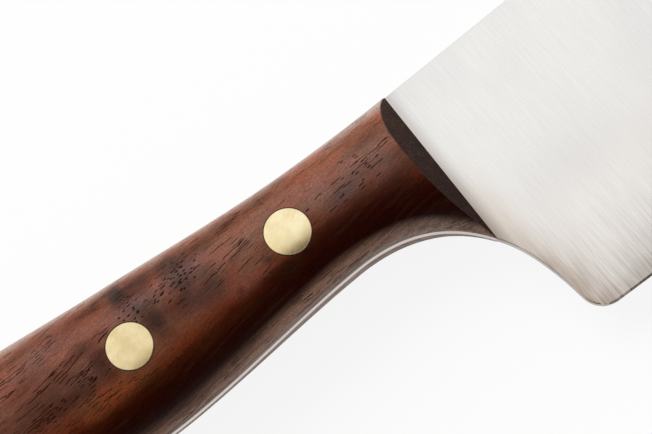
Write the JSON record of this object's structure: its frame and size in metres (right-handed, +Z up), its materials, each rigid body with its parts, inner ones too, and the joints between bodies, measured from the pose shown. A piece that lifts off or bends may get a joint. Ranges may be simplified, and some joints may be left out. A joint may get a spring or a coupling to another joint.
{
  "type": "nakiri knife",
  "caption": "Straight-edged rectangular vegetable knife with a full tang, riveted wooden handle scales, a rounded choil and a hooked butt.",
  "frame": {"origin": "on the surface that the knife lies on, under the middle of its bounding box", "axes": "+Z up; +X along the knife from the butt towards the tip, and the longest extent; +Y from the cutting edge towards the spine. The knife lies on its left side, tipped about 2.3 degrees towards the tip and 2.2 degrees about its length, as it rests on the swell of the left scale and the low side of the tip"},
  "size_m": [0.2918, 0.0628, 0.0235],
  "materials": {
    "blade_steel": "fine satin, brushed across the blade",
    "right_scale_wood": "oiled and polished hardwood",
    "left_scale_wood": "oiled and polished hardwood",
    "rivet_brass": "ground flush, fine brush lines"
  },
  "bodies": {
    "root": {"blade": "blade_steel", "right_scale": "right_scale_wood", "left_scale": "left_scale_wood", "front_rivet_sleeve": "rivet_brass", "front_rivet_pin": "rivet_brass", "middle_rivet_sleeve": "rivet_brass", "middle_rivet_pin": "rivet_brass", "rear_rivet_sleeve": "rivet_brass", "rear_rivet_pin": "rivet_brass"}
  },
  "joints": []
}
